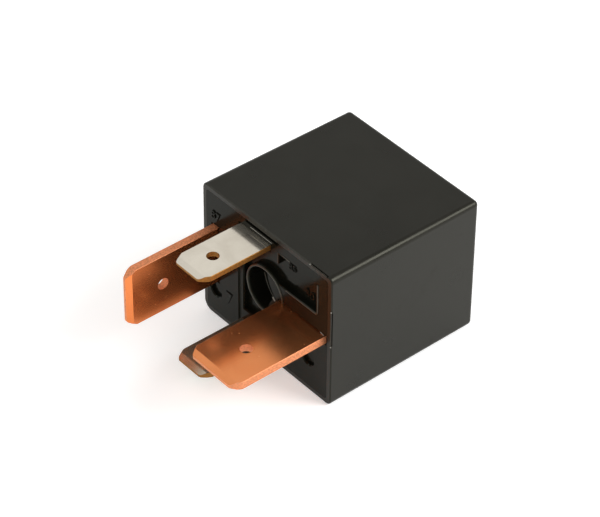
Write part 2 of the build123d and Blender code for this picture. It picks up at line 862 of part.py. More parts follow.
pieces = {
    "cover": make_cover(),
    "base": make_base(),
    "terminal_30": make_terminal_30(),
    "terminal_87": make_terminal_87(),
    "terminal_85": make_coil_terminal(coil_blade_z),
    "terminal_86": make_coil_terminal(-coil_blade_z),
    "yoke": make_yoke(),
    "core": make_core(),
    "bobbin": make_bobbin(),
    "coil_winding": make_winding(),
    "coil_lead_85": make_coil_lead(1),
    "coil_lead_86": make_coil_lead(-1),
    "armature": make_armature(),
    "contact_spring": make_contact_spring(),
    "moving_contact": make_moving_contact(),
    "fixed_contact": make_fixed_contact(),
    "rest_stop": make_rest_stop(),
    "yoke_rivet_upper": make_yoke_rivet(1),
    "yoke_rivet_lower": make_yoke_rivet(-1),
    "armature_rivet_upper": make_armature_rivet(1),
    "armature_rivet_lower": make_armature_rivet(-1),
}

os.makedirs("parts", exist_ok=True)
for name, piece in pieces.items():
    export_step(piece, f"parts/{name}.step")
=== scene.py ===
# %% [markdown]
# # A sealed plug-in relay
# The relay lies on one long side of its black cover, with four flat blades on its terminal face.
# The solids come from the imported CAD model, so this script only dresses them: it gives each piece
# its finish, adds what is too fine for a solid, and sets up a small product studio.
# Lengths are in metres, in the CAD model's own frame: blades towards -Y, Z up. The tables of fine
# detail are in millimetres, and say so.

# %% Load the frame
import math

import bmesh
import bpy
from mathutils import Matrix, Vector


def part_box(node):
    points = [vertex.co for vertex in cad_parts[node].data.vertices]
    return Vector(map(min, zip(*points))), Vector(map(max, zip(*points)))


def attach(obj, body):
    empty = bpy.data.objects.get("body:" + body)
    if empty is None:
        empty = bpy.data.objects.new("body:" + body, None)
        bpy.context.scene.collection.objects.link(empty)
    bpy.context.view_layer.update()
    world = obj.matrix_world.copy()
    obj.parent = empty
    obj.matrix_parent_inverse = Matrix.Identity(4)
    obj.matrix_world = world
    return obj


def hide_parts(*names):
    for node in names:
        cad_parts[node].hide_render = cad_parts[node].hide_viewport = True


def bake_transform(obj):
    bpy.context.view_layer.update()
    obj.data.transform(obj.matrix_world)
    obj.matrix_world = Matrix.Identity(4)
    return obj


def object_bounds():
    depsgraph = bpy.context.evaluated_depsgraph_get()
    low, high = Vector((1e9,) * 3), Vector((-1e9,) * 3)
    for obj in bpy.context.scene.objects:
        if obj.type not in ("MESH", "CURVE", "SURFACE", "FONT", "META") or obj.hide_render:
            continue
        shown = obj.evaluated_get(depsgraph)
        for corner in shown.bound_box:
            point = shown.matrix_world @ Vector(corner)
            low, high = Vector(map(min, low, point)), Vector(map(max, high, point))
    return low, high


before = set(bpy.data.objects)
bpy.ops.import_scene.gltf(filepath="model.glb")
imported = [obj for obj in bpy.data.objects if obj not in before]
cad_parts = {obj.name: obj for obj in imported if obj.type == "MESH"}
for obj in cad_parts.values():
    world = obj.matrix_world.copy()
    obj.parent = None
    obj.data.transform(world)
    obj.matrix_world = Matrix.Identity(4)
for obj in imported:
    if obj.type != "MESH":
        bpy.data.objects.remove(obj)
cad_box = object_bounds()
MM = 0.001
print("CAD pieces:", len(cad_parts))

# %% [markdown]
# ## The camera
# A product photo of a thing this small is taken from about 40 cm with a long lens, so its edges
# stay nearly parallel. Two angles and a distance say where the camera stands. Building its axes
# by hand, and not with a tracking constraint, keeps the slight roll of a hand-set tripod.

# %% Camera
CAMERA_TURN = math.radians(49.64)
CAMERA_LIFT = math.radians(39.78)
CAMERA_ROLL = math.radians(0.59)
CAMERA_DISTANCE = 385.8 * MM
CAMERA_SLIDE = (4.56 * MM, 4.70 * MM)
CAMERA_LENS = 172.7
SENSOR_WIDTH = 36
NEAREST_SEEN = 0.02


def place_camera():
    back = Vector((
        math.sin(CAMERA_TURN) * math.cos(CAMERA_LIFT),
        -math.cos(CAMERA_TURN) * math.cos(CAMERA_LIFT),
        math.sin(CAMERA_LIFT),
    ))
    level_right = Vector((math.cos(CAMERA_TURN), math.sin(CAMERA_TURN), 0))
    level_up = back.cross(level_right)
    right = level_right * math.cos(CAMERA_ROLL) + level_up * math.sin(CAMERA_ROLL)
    up = level_up * math.cos(CAMERA_ROLL) - level_right * math.sin(CAMERA_ROLL)
    camera = bpy.data.objects.new("camera", bpy.data.cameras.new("camera"))
    camera.data.sensor_width = SENSOR_WIDTH
    camera.data.lens = CAMERA_LENS
    camera.data.clip_start = NEAREST_SEEN
    bpy.context.scene.collection.objects.link(camera)
    turn = Matrix((right, up, back)).transposed().to_4x4()
    spot = back * CAMERA_DISTANCE + right * CAMERA_SLIDE[0] + up * CAMERA_SLIDE[1]
    camera.matrix_world = Matrix.Translation(spot) @ turn
    bpy.context.scene.camera = camera
    return camera


camera = place_camera()
print("camera at", [round(v, 3) for v in camera.matrix_world.translation])

# %% [markdown]
# ## Node helpers
# Materials here are built from nodes. Clicking them together in the editor works as well, but a
# script can be read, changed and run again. Three small helpers keep it readable: one adds a node
# and sets its values, one joins two sockets, and one starts a material with its Principled shader.

# %% Helpers for node trees
def add_node(tree, kind, x=0, y=0, **values):
    """A node of one kind. Values name its properties, or its inputs with _ for a space."""
    node = tree.nodes.new("ShaderNode" + kind)
    node.location = (x, y)
    for name, value in values.items():
        if hasattr(node, name):
            setattr(node, name, value)
        else:
            node.inputs[name.replace("_", " ")].default_value = value
    return node


def join(tree, source, target):
    tree.links.new(source, target)


def start_material(name, **values):
    """A material with a Principled shader, whose constant values are on its own sockets."""
    material = bpy.data.materials.new(name)
    material.use_nodes = True
    tree = material.node_tree
    shader = tree.nodes["Principled BSDF"]
    for key, value in values.items():
        shader.inputs[key.replace("_", " ")].default_value = value
    return material, tree, shader


print("node helpers ready")

# %% [markdown]
# ## Node group helpers
# A node group is a small machine with named sockets, which several materials can share. One
# helper makes its sockets, and the other one places the group in a material.

# %% Helpers for node groups
def start_group(name, inputs, outputs):
    """A shader group with named sockets. Inputs are (name, default), outputs (name, kind)."""
    group = bpy.data.node_groups.new(name, "ShaderNodeTree")
    for label, default in inputs:
        kind = "NodeSocketVector" if isinstance(default, tuple) else "NodeSocketFloat"
        group.interface.new_socket(label, in_out="INPUT", socket_type=kind).default_value = default
    for label, kind in outputs:
        group.interface.new_socket(label, in_out="OUTPUT", socket_type="NodeSocket" + kind)
    return group, group.nodes.new("NodeGroupInput"), group.nodes.new("NodeGroupOutput")


def use_group(tree, group, x=-600, y=0, **values):
    """The group placed in a material, with that material's own values."""
    node = tree.nodes.new("ShaderNodeGroup")
    node.node_tree = group
    node.location = (x, y)
    for name, value in values.items():
        node.inputs[name.replace("_", " ")].default_value = value
    return node


print("group helpers ready")

# %% [markdown]
# ## Helpers for values and colours
# Most of a material is arithmetic: a mask times a strength, a mix of two colours, a noise that is
# stretched to the range a roughness needs. Each of these three is one node and one call here.
# Most of what a noise gives lies between 0.3 and 0.7, so that range is stretched most often.

# %% Helpers for values and colours
NOISE_SPAN = (0.3, 0.7)


def maths(tree, operation, a, b=0.0):
    """One sum on two values or sockets, as a socket."""
    node = add_node(tree, "Math", operation=operation)
    for socket, value in zip(node.inputs, (a, b)):
        if isinstance(value, (int, float)):
            socket.default_value = value
        else:
            join(tree, value, socket)
    return node.outputs[0]


def blend_colour(tree, factor, low, high):
    """A mix of two colours, or sockets, by a factor socket."""
    node = add_node(tree, "Mix", data_type="RGBA")
    join(tree, factor, node.inputs["Factor"])
    for socket, value in ((node.inputs[6], low), (node.inputs[7], high)):
        if isinstance(value, tuple):
            socket.default_value = (*value, 1)
        else:
            join(tree, value, socket)
    return node.outputs[2]


def spread(tree, value, low, high, to_low=0.0, to_high=1.0):
    """A value's range from low to high, stretched to another range and held there."""
    node = add_node(tree, "MapRange", clamp=True)
    join(tree, value, node.inputs["Value"])
    for name, number in (
        ("From Min", low), ("From Max", high), ("To Min", to_low), ("To Max", to_high)
    ):
        node.inputs[name].default_value = number
    return node.outputs["Result"]


print("value helpers ready")

# %% [markdown]
# ## Effects that several finishes share
# Each effect below is used by more than one finish. So each is a node group with its own sockets,
# and every material gives it its own numbers.
#
# The first is the skin of moulded plastic. It is never quite flat: it has a faint orange peel,
# and cloudy patches where the melt cooled. An image could show both, but three noises at
# different scales never repeat, and they follow the surface without any unwrapping.

# %% Moulded skin group
def make_moulded_skin():
    group, source, result = start_group(
        "moulded_skin",
        [("Grain Scale", 2500.0), ("Cloud Scale", 160.0)],
        [("Grain", "Float"), ("Clouds", "Float"), ("Scuffs", "Float")],
    )
    place = add_node(group, "TexCoord", -800, 0).outputs["Object"]
    grain = add_node(group, "TexNoise", -400, 200, Detail=3.0, Roughness=0.6)
    clouds = add_node(group, "TexNoise", -400, 0, Detail=2.0, Roughness=0.5, Distortion=0.6)
    scuffs = add_node(group, "TexNoise", -400, -200, Scale=420.0, Detail=6.0, Roughness=0.7)
    for node in (grain, clouds, scuffs):
        join(group, place, node.inputs["Vector"])
    join(group, source.outputs["Grain Scale"], grain.inputs["Scale"])
    join(group, source.outputs["Cloud Scale"], clouds.inputs["Scale"])
    join(group, grain.outputs["Fac"], result.inputs["Grain"])
    join(group, spread(group, clouds.outputs["Fac"], *NOISE_SPAN), result.inputs["Clouds"])
    join(group, spread(group, scuffs.outputs["Fac"], 0.56, 0.74), result.inputs["Scuffs"])
    return group


moulded_skin = make_moulded_skin()
print("group:", moulded_skin.name)

# %% [markdown]
# ## Rolled strip
# Strip metal has long fine lines along the rolling direction, and a soft tarnish with a few
# spots. Lines are a noise that is stretched: its coordinates are multiplied by a small number
# along the strip, so each fleck of noise becomes a streak. That direction is a socket, because
# the blades and the spring run different ways.

# %% Rolled strip group
def make_rolled_strip():
    group, source, result = start_group(
        "rolled_strip",
        [("Stretch", (1.0, 1.0, 1.0)), ("Line Scale", 6000.0), ("Tarnish Scale", 220.0)],
        [("Lines", "Float"), ("Tarnish", "Float"), ("Spots", "Float")],
    )
    place = add_node(group, "TexCoord", -1000, 0).outputs["Object"]
    stretch = add_node(group, "VectorMath", -800, 200, operation="MULTIPLY")
    join(group, place, stretch.inputs[0])
    join(group, source.outputs["Stretch"], stretch.inputs[1])
    lines = add_node(group, "TexNoise", -500, 200, Detail=4.0, Roughness=0.65)
    join(group, stretch.outputs[0], lines.inputs["Vector"])
    join(group, source.outputs["Line Scale"], lines.inputs["Scale"])
    tarnish = add_node(group, "TexNoise", -500, 0, Detail=3.0, Roughness=0.55, Distortion=0.8)
    spots = add_node(group, "TexNoise", -500, -200, Scale=1500.0, Detail=2.0, Roughness=0.5)
    join(group, place, tarnish.inputs["Vector"])
    join(group, source.outputs["Tarnish Scale"], tarnish.inputs["Scale"])
    join(group, place, spots.inputs["Vector"])
    join(group, lines.outputs["Fac"], result.inputs["Lines"])
    join(group, spread(group, tarnish.outputs["Fac"], 0.35, 0.7), result.inputs["Tarnish"])
    join(group, spread(group, spots.outputs["Fac"], 0.66, 0.78), result.inputs["Spots"])
    return group


rolled_strip = make_rolled_strip()
print("group:", rolled_strip.name)

# %% [markdown]
# ## Stamped edges
# A stamped edge is bare metal, half burnished and half torn. It could be a second material on
# chosen faces, but CAD pieces come with one slot each. So the group compares each face's
# direction with the thin axis of the strip: faces that look along it are rolled, the rest are cut.
# The small 45 degree chamfers count as cut, and the flat bevels of the tips don't.

# %% Stamped edge group
CUT_BELOW = 0.74
ROLLED_ABOVE = 0.86


def make_stamped_edge():
    group, source, result = start_group(
        "stamped_edge",
        [("Thin Axis", (0.0, 0.0, 1.0)), ("Tear Scale", 5000.0)],
        [("Cut", "Float"), ("Tear", "Float")],
    )
    normal = add_node(group, "NewGeometry", -900, 0).outputs["True Normal"]
    facing = add_node(group, "VectorMath", -700, 0, operation="DOT_PRODUCT")
    join(group, normal, facing.inputs[0])
    join(group, source.outputs["Thin Axis"], facing.inputs[1])
    flat = maths(group, "ABSOLUTE", facing.outputs["Value"])
    join(group, spread(group, flat, CUT_BELOW, ROLLED_ABOVE, 1.0, 0.0), result.inputs["Cut"])
    place = add_node(group, "TexCoord", -900, -300).outputs["Object"]
    tear = add_node(group, "TexNoise", -500, -300, Detail=5.0, Roughness=0.75)
    join(group, place, tear.inputs["Vector"])
    join(group, source.outputs["Tear Scale"], tear.inputs["Scale"])
    join(group, tear.outputs["Fac"], result.inputs["Tear"])
    return group


stamped_edge = make_stamped_edge()
print("group:", stamped_edge.name)

# %% [markdown]
# ## Black plastic
# The cover and the base are glass-filled polyester, moulded in a polished tool. It is nearly
# black, with a clear gloss: the terminal face mirrors the copper blades, which is where its brown
# patches come from. So the colour stays almost even, and the work goes into a low roughness that
# drifts a little, with a very faint grain. A tint on the specular colours the mirrored white.

# %% Black plastic
WARM_SHEEN = (1.0, 0.985, 0.81)
GREEN_SHEEN = (0.92, 1.0, 0.78)
SCUFF_ROUGHNESS = 0.12


def make_plastic(
    name, dark, light, smooth, rough, grain_depth, grain_scale, gloss=0.5, sheen=WARM_SHEEN
):
    material, tree, shader = start_material(name, IOR=1.46, Specular_IOR_Level=gloss)
    shader.inputs["Specular Tint"].default_value = (*sheen, 1)
    skin = use_group(tree, moulded_skin, Grain_Scale=grain_scale)
    colour = blend_colour(tree, skin.outputs["Clouds"], dark, light)
    join(tree, colour, shader.inputs["Base Color"])
    base = spread(tree, skin.outputs["Clouds"], 0.0, 1.0, smooth, rough)
    worn = maths(tree, "MULTIPLY", skin.outputs["Scuffs"], SCUFF_ROUGHNESS)
    join(tree, maths(tree, "ADD", base, worn), shader.inputs["Roughness"])
    bump = add_node(tree, "Bump", -200, -300, Strength=1.0, Distance=grain_depth)
    join(tree, skin.outputs["Grain"], bump.inputs["Height"])
    join(tree, bump.outputs["Normal"], shader.inputs["Normal"])
    return material


print("plastic maker ready, scuffs add", SCUFF_ROUGHNESS)

# %% [markdown]
# ## Finishes of the cover and the base
# The cover mirrors a little warm and the base a little green, as two batches of black plastic do.
# The base also has finer features: soft crests, beads in the rim's reliefs whose paler, warmer
# black is painted light over the shade there, and small pale spots that are painted highlights. A
# mask could paint them on the base, but each is a piece of its own, with its own finish.

# %% Cover and base finishes
COVER_GRAIN = {"grain_depth": 4e-7, "grain_scale": 3200.0}
BASE_GRAIN = {"grain_depth": 1.5e-7, "grain_scale": 2600.0}
cover_finish = make_plastic(
    "black_cover", (0.0060, 0.0058, 0.0045), (0.0080, 0.0077, 0.0062), 0.27, 0.35,
    gloss=0.26, **COVER_GRAIN
)
base_finish = make_plastic(
    "black_base", (0.0048, 0.0050, 0.0034), (0.0066, 0.0067, 0.0048), 0.12, 0.18,
    gloss=0.09, sheen=GREEN_SHEEN, **BASE_GRAIN
)
crest_finish = make_plastic(
    "base_crests", (0.0080, 0.0078, 0.0062), (0.0110, 0.0106, 0.0085), 0.26, 0.34,
    gloss=0.75, **BASE_GRAIN
)
# Painted light: a paler, warmer black for the beads in the rim's reliefs, which lifts their shade.
painted_light_relief_finish = make_plastic(
    "relief_painted_light", (0.0100, 0.0080, 0.0058), (0.0130, 0.0105, 0.0075), 0.26, 0.34,
    gloss=0.34, **BASE_GRAIN
)
# Painted highlights: a pale grey for small beads that stand in for glints.
painted_highlight_finish = make_plastic(
    "painted_highlight_plastic", (0.22, 0.21, 0.19), (0.30, 0.29, 0.26), 0.3, 0.4, gloss=0.5, **BASE_GRAIN
)
plastics = (cover_finish, base_finish, crest_finish, painted_light_relief_finish, painted_highlight_finish)
print("plastics:", [finish.name for finish in plastics])

# %% [markdown]
# ## Copper and tinned brass
# The load blades are bare copper strip: warm, fairly smooth, with rolling lines along the strip
# and a light brown tarnish. The coil blades are plated with tin before they are stamped, so their
# cut edges show the golden brass inside. One function makes both kinds from its two metals: the
# plated or rolled face, and the cut edge that the stamped edge group picks out by its direction.
# The torn parts of an edge are a shade darker.

# %% Strip metals
TEAR_SPAN = (0.42, 0.58)
EDGE_SHADE = 0.62
EDGE_DRIFT = 0.08
SPOT_ROUGHNESS = 0.08
TEAR_HEIGHT = 12.0


def make_strip(
    name, face, tarnished, edge, smooth, rough, thin_axis, stretch, line_depth, edge_rough=0.34,
    bare=1.0
):
    material, tree, shader = start_material(name, Metallic=bare)
    strip = use_group(tree, rolled_strip, Stretch=stretch)
    cut = use_group(tree, stamped_edge, y=-400, Thin_Axis=thin_axis)
    surface = blend_colour(tree, strip.outputs["Tarnish"], face, tarnished)
    shaded = tuple(EDGE_SHADE * value for value in edge)
    torn_part = spread(tree, cut.outputs["Tear"], *TEAR_SPAN)
    torn_edge = blend_colour(tree, torn_part, shaded, edge)
    colour = blend_colour(tree, cut.outputs["Cut"], surface, torn_edge)
    join(tree, colour, shader.inputs["Base Color"])
    flat_rough = spread(tree, strip.outputs["Lines"], *NOISE_SPAN, smooth, rough)
    spots = maths(tree, "MULTIPLY", strip.outputs["Spots"], SPOT_ROUGHNESS)
    spotted = maths(tree, "ADD", flat_rough, spots)
    burnished, coarse = edge_rough - EDGE_DRIFT, edge_rough + EDGE_DRIFT
    torn = spread(tree, cut.outputs["Tear"], *NOISE_SPAN, burnished, coarse)
    away = maths(tree, "SUBTRACT", 1.0, cut.outputs["Cut"])
    flat_part = maths(tree, "MULTIPLY", spotted, away)
    cut_part = maths(tree, "MULTIPLY", torn, cut.outputs["Cut"])
    join(tree, maths(tree, "ADD", flat_part, cut_part), shader.inputs["Roughness"])
    tear_height = maths(tree, "MULTIPLY", cut.outputs["Tear"], cut.outputs["Cut"])
    tear_height = maths(tree, "MULTIPLY", tear_height, TEAR_HEIGHT)
    height = maths(tree, "ADD", strip.outputs["Lines"], tear_height)
    bump = add_node(tree, "Bump", -200, -500, Strength=1.0, Distance=line_depth)
    join(tree, height, bump.inputs["Height"])
    join(tree, bump.outputs["Normal"], shader.inputs["Normal"])
    return material


print("strip maker ready, torn metal is darker by", EDGE_SHADE)

# %% [markdown]
# ## Finishes of the four blades
# One finish for each pair would do in a catalogue. Here the two of a pair differ: the upright
# copper is darker and redder than the lying one, and blade 86 is darker than 85. Both are painted
# shade, darker copies of one metal for the blades that mirror less light. So each blade has its own
# two colours, and each pair shares its edges and its rolling lines.

# %% Blade finishes
AXIS_X, AXIS_Y, AXIS_Z = (1, 0, 0), (0, 1, 0), (0, 0, 1)
ALONG_X = (0.06, 1.0, 1.0)
ALONG_Y = (1.0, 0.06, 1.0)
COPPER = (0.95, 0.345, 0.13)
COPPER_BROWN = (0.91, 0.31, 0.112)
# Painted shade: a darker, redder copy of the copper, for the upright blade 87.
SHADED_RED_COPPER = (0.85, 0.262, 0.083)
SHADED_RED_COPPER_BROWN = (0.81, 0.24, 0.075)
COPPER_CUT = (0.84, 0.35, 0.17)
TIN = (0.79, 0.735, 0.635)
TIN_GREY = (0.70, 0.645, 0.55)
# Painted shade: a darker copy of the tin, for blade 86.
SHADED_TIN = (0.58, 0.57, 0.46)
SHADED_TIN_GREY = (0.50, 0.48, 0.38)
# The brass of the cut edges is darker than bare brass: partly the metal, partly painted shade for
# the dark base that the edges mirror.
SHADED_BRASS_CUT = (0.36, 0.17, 0.04)
COPPER_STRIP = {"stretch": ALONG_Y, "line_depth": 1.5e-8, "edge_rough": 0.66, "bare": 0.95}
TIN_STRIP = {"stretch": ALONG_Y, "line_depth": 2e-8, "edge_rough": 0.6, "bare": 0.87}
copper_flat = make_strip(
    "copper_lying", COPPER, COPPER_BROWN, COPPER_CUT, 0.20, 0.24, AXIS_Z, **COPPER_STRIP
)
# Painted shade: the upright blade's copper is a darker, redder copy of the lying one.
shaded_copper_upright = make_strip(
    "shaded_copper_upright", SHADED_RED_COPPER, SHADED_RED_COPPER_BROWN, COPPER_CUT, 0.20, 0.24, AXIS_X,
    **COPPER_STRIP
)
tinned_flat = make_strip(
    "tinned_brass", TIN, TIN_GREY, SHADED_BRASS_CUT, 0.12, 0.18, AXIS_Z, **TIN_STRIP
)
# Painted shade: blade 86 has the same tin as 85, only darker.
shaded_tinned = make_strip(
    "shaded_tinned_brass", SHADED_TIN, SHADED_TIN_GREY, SHADED_BRASS_CUT, 0.16, 0.22, AXIS_Z, **TIN_STRIP
)
strips = (copper_flat, shaded_copper_upright, tinned_flat, shaded_tinned)
print("strip metals:", [finish.name for finish in strips])

# %% [markdown]
# ## Finishes inside the cover
# Nobody sees these once the relay is closed, but each piece still gets what it has on the bench:
# zinc on the magnet iron, natural nylon for the bobbin, lacquered wire, spring bronze, silver
# contacts and plated steel for the rivets and the stop. The two makers above serve here too, with
# other colours, so nothing new has to be built.

# %% Inside finishes
SHORT_ALONG_Y = (1.0, 0.2, 1.0)
NO_STRETCH = (1.0, 1.0, 1.0)
zinc_iron = make_strip(
    "zinc_plated_iron", (0.62, 0.62, 0.60), (0.50, 0.50, 0.47), (0.55, 0.55, 0.53),
    0.26, 0.36, AXIS_Z, SHORT_ALONG_Y, 3e-7,
)
spring_bronze = make_strip(
    "phosphor_bronze", (0.78, 0.52, 0.28), (0.62, 0.38, 0.19), (0.80, 0.55, 0.30),
    0.20, 0.30, AXIS_Z, ALONG_X, 1.5e-7,
)
stop_steel = make_strip(
    "plated_stop_steel", (0.56, 0.57, 0.58), (0.43, 0.43, 0.43), (0.50, 0.50, 0.50),
    0.28, 0.38, AXIS_X, ALONG_Y, 3e-7,
)
rivet_steel = make_strip(
    "zinc_rivet_steel", (0.66, 0.65, 0.62), (0.52, 0.51, 0.48), (0.62, 0.61, 0.58),
    0.18, 0.28, AXIS_Y, NO_STRETCH, 2e-7,
)
contact_silver = make_strip(
    "silver_contact", (0.86, 0.84, 0.80), (0.70, 0.67, 0.62), (0.80, 0.78, 0.74),
    0.24, 0.34, AXIS_Y, NO_STRETCH, 6e-7,
)
bobbin_nylon = make_plastic(
    "bobbin_nylon", (0.60, 0.56, 0.44), (0.68, 0.64, 0.52), 0.38, 0.5, 2e-6, 1800.0
)
inside = (zinc_iron, spring_bronze, stop_steel, rivet_steel, contact_silver, bobbin_nylon)
print("inside finishes:", [finish.name for finish in inside])

# %% [markdown]
# ## Lacquered wire
# Enamelled copper looks like dark red glass over metal, because the lacquer is a clear tinted
# coat. A coat layer on the shader does that better than any colour mix.

# %% Winding wire
def make_wire_finish():
    material, tree, shader = start_material(
        "enamelled_wire", Metallic=1.0, Coat_Roughness=0.08, Coat_IOR=1.5
    )
    strip = use_group(tree, rolled_strip, Tarnish_Scale=400.0)
    colour = blend_colour(
        tree, strip.outputs["Tarnish"], (0.62, 0.17, 0.055), (0.42, 0.10, 0.03)
    )
    join(tree, colour, shader.inputs["Base Color"])
    drawn = spread(tree, strip.outputs["Lines"], *NOISE_SPAN, 0.22, 0.34)
    join(tree, drawn, shader.inputs["Roughness"])
    coat = spread(tree, strip.outputs["Spots"], 0.0, 1.0, 0.9, 0.5)
    join(tree, coat, shader.inputs["Coat Weight"])
    return material


wire_finish = make_wire_finish()
print("wire finish:", wire_finish.name)

# %% [markdown]
# ## Dressing the CAD pieces
# A CAD piece keeps its shape. Only the material in its slots changes. Slots could be filled by
# hand, but a table of pieces and finishes says in one place what everything is made of.

# %% Assign the finishes
FINISHES = {
    "cover": cover_finish,
    "base": base_finish,
    "terminal_30": copper_flat,
    "terminal_87": shaded_copper_upright,
    "terminal_85": tinned_flat,
    "terminal_86": shaded_tinned,
    "yoke": zinc_iron,
    "core": zinc_iron,
    "armature": zinc_iron,
    "bobbin": bobbin_nylon,
    "coil_winding": wire_finish,
    "coil_lead_85": wire_finish,
    "coil_lead_86": wire_finish,
    "contact_spring": spring_bronze,
    "moving_contact": contact_silver,
    "fixed_contact": contact_silver,
    "rest_stop": stop_steel,
    "yoke_rivet_upper": rivet_steel,
    "yoke_rivet_lower": rivet_steel,
    "armature_rivet_upper": rivet_steel,
    "armature_rivet_lower": rivet_steel,
}


def dress(node, finish):
    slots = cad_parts[node].material_slots
    for slot in slots:
        slot.material = finish
    return len(slots)


dressed = sum(dress(node, finish) for node, finish in FINISHES.items())
print("slots dressed:", dressed)

# %% [markdown]
# ## The wound coil
# The CAD winding is a plain sleeve. The real one shows its outer layer: some forty turns of
# lacquered wire, side by side in a fine screw line. Twisting a curve into hundreds of loops would
# be heavy, so the outer skin is one grid, and its radius swells once per turn. The swell moves
# along by one pitch on the way round, and that makes it a true helix.

# %% Winding with its turns
WIRE_PITCH = 0.26 * MM
WINDING_BORE = 3.92 * MM
STEPS_ROUND = 72
STEPS_PER_TURN = 7


def make_winding():
    low, high = (Vector(corner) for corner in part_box("coil_winding"))
    mid_x, mid_z = (low.x + high.x) / 2, (low.z + high.z) / 2
    outside = (high.x - low.x) / 2
    turns = int((high.y - low.y) / WIRE_PITCH)
    pitch = (high.y - low.y) / turns
    columns = turns * STEPS_PER_TURN + 1
    points = []
    for column in range(columns):
        y = low.y + (high.y - low.y) * column / (columns - 1)
        for step in range(STEPS_ROUND):
            angle = 2 * math.pi * step / STEPS_ROUND
            across = ((y - low.y) / pitch - step / STEPS_ROUND) % 1.0 * 2 - 1
            radius = outside - pitch / 2 * (1 - math.sqrt(max(0.0, 1 - across * across)))
            points.append((mid_x + radius * math.cos(angle), y, mid_z + radius * math.sin(angle)))
    for y in (high.y, low.y):
        for step in range(STEPS_ROUND):
            angle = 2 * math.pi * step / STEPS_ROUND
            points.append((
                mid_x + WINDING_BORE * math.cos(angle), y, mid_z + WINDING_BORE * math.sin(angle)
            ))
    rings = columns + 2
    faces = []
    for ring in range(rings):
        for step in range(STEPS_ROUND):
            near, far = ring * STEPS_ROUND, (ring + 1) % rings * STEPS_ROUND
            after = (step + 1) % STEPS_ROUND
            faces.append((near + step, far + step, far + after, near + after))
    mesh = bpy.data.meshes.new("coil_turns")
    mesh.from_pydata(points, [], faces)
    mesh.materials.append(wire_finish)
    mesh.shade_smooth()
    winding = bpy.data.objects.new("coil_turns", mesh)
    bpy.context.scene.collection.objects.link(winding)
    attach(winding, "housing")
    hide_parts("coil_winding")
    return winding, turns


winding, turn_count = make_winding()
print("coil turns:", turn_count, "faces:", len(winding.data.polygons))

# %% [markdown]
# ## The contact spring
# The contact spring is riveted to the yoke at one end and to the armature at the other, and it
# bends in between whenever the relay switches. A rigid piece can't do that. A copy of the CAD
# spring is cut into narrow bands across its bend and takes the place of the CAD piece, but the
# bands are not blended, so it stays rigid.

# %% Contact spring cut into bands across its bend
BEND_START = (10.78 * MM, 18.6 * MM, 0)
BEND_END = (8.9 * MM, 21.5 * MM, 0)
BEND_BANDS = 14
SHARP_ANGLE = math.radians(35)


def make_bending_spring():
    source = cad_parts["contact_spring"]
    mesh = source.data.copy()
    mesh.transform(source.matrix_world)
    start, end = Vector(BEND_START), Vector(BEND_END)
    shape = bmesh.new()
    shape.from_mesh(mesh)
    for band in range(BEND_BANDS + 1):
        cut = start.lerp(end, band / BEND_BANDS)
        everything = shape.verts[:] + shape.edges[:] + shape.faces[:]
        bmesh.ops.bisect_plane(
            shape, geom=everything, dist=1e-8, plane_co=cut, plane_no=(end - start).normalized()
        )
    bmesh.ops.triangulate(shape, faces=shape.faces[:])
    shape.to_mesh(mesh)
    shape.free()
    mesh.shade_smooth()
    mesh.set_sharp_from_angle(angle=SHARP_ANGLE)
    mesh.materials.clear()
    mesh.materials.append(spring_bronze)
    spring = bpy.data.objects.new("bending_spring", mesh)
    bpy.context.scene.collection.objects.link(spring)
    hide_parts("contact_spring")
    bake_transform(spring)
    return spring


spring = make_bending_spring()
print("spring faces:", len(spring.data.polygons))

# %% [markdown]
# ## Helpers for fine moulded detail
# The figures and the soft crests of the base are too fine for solids. Both start as Blender
# curves, a text and a line with a round bevel, and become plain meshes at once. One helper turns a
# curve into a mesh, and the other one hangs that mesh on the base.

# %% Helpers for moulded detail
def curve_to_mesh(curve, place):
    """A curve or a text as a mesh, moved to its place."""
    carrier = bpy.data.objects.new(curve.name + "_carrier", curve)
    bpy.context.scene.collection.objects.link(carrier)
    bpy.context.view_layer.update()
    graph = bpy.context.evaluated_depsgraph_get()
    mesh = bpy.data.meshes.new_from_object(carrier.evaluated_get(graph))
    mesh.transform(place)
    bpy.data.objects.remove(carrier)
    return mesh


def add_to_base(name, mesh, finish):
    mesh.materials.clear()
    mesh.materials.append(finish)
    detail = bpy.data.objects.new(name, mesh)
    bpy.context.scene.collection.objects.link(detail)
    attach(detail, "housing")
    return detail


print("detail helpers ready")

# %% [markdown]
# ## Terminal numbers
# The base is moulded with the number of each blade beside it, in thin raised figures, and with
# the number of the mould cavity. They could be modelled stroke by stroke, but text objects are
# quicker and stay easy to change. A small bevel catches light as a moulded edge does.

# %% Raised numbers on the terminal face
FIGURE_BEVEL = 0.03 * MM
FIGURE_HEIGHT = 0.14 * MM
CAVITY_HEIGHT = 0.1 * MM
THINNER_STROKE = -0.02 * MM
POCKET_FLOOR = 0.85
# The text, its size and spot in millimetres, and how far it stands out.
FIGURES = {
    "number_87": ("87", 1.9, (-10.6, 0, 6.7), FIGURE_HEIGHT),
    "number_30": ("30", 2.0, (8.2, POCKET_FLOOR, 4.7), FIGURE_HEIGHT),
    "number_85": ("85", 1.6, (4.6, POCKET_FLOOR, 7.0), FIGURE_HEIGHT),
    "number_86": ("86", 2.0, (-2.4, 0, -6.9), FIGURE_HEIGHT),
    "cavity_number": ("7", 3.0, (-7.9, 0, -6.2), CAVITY_HEIGHT),
}


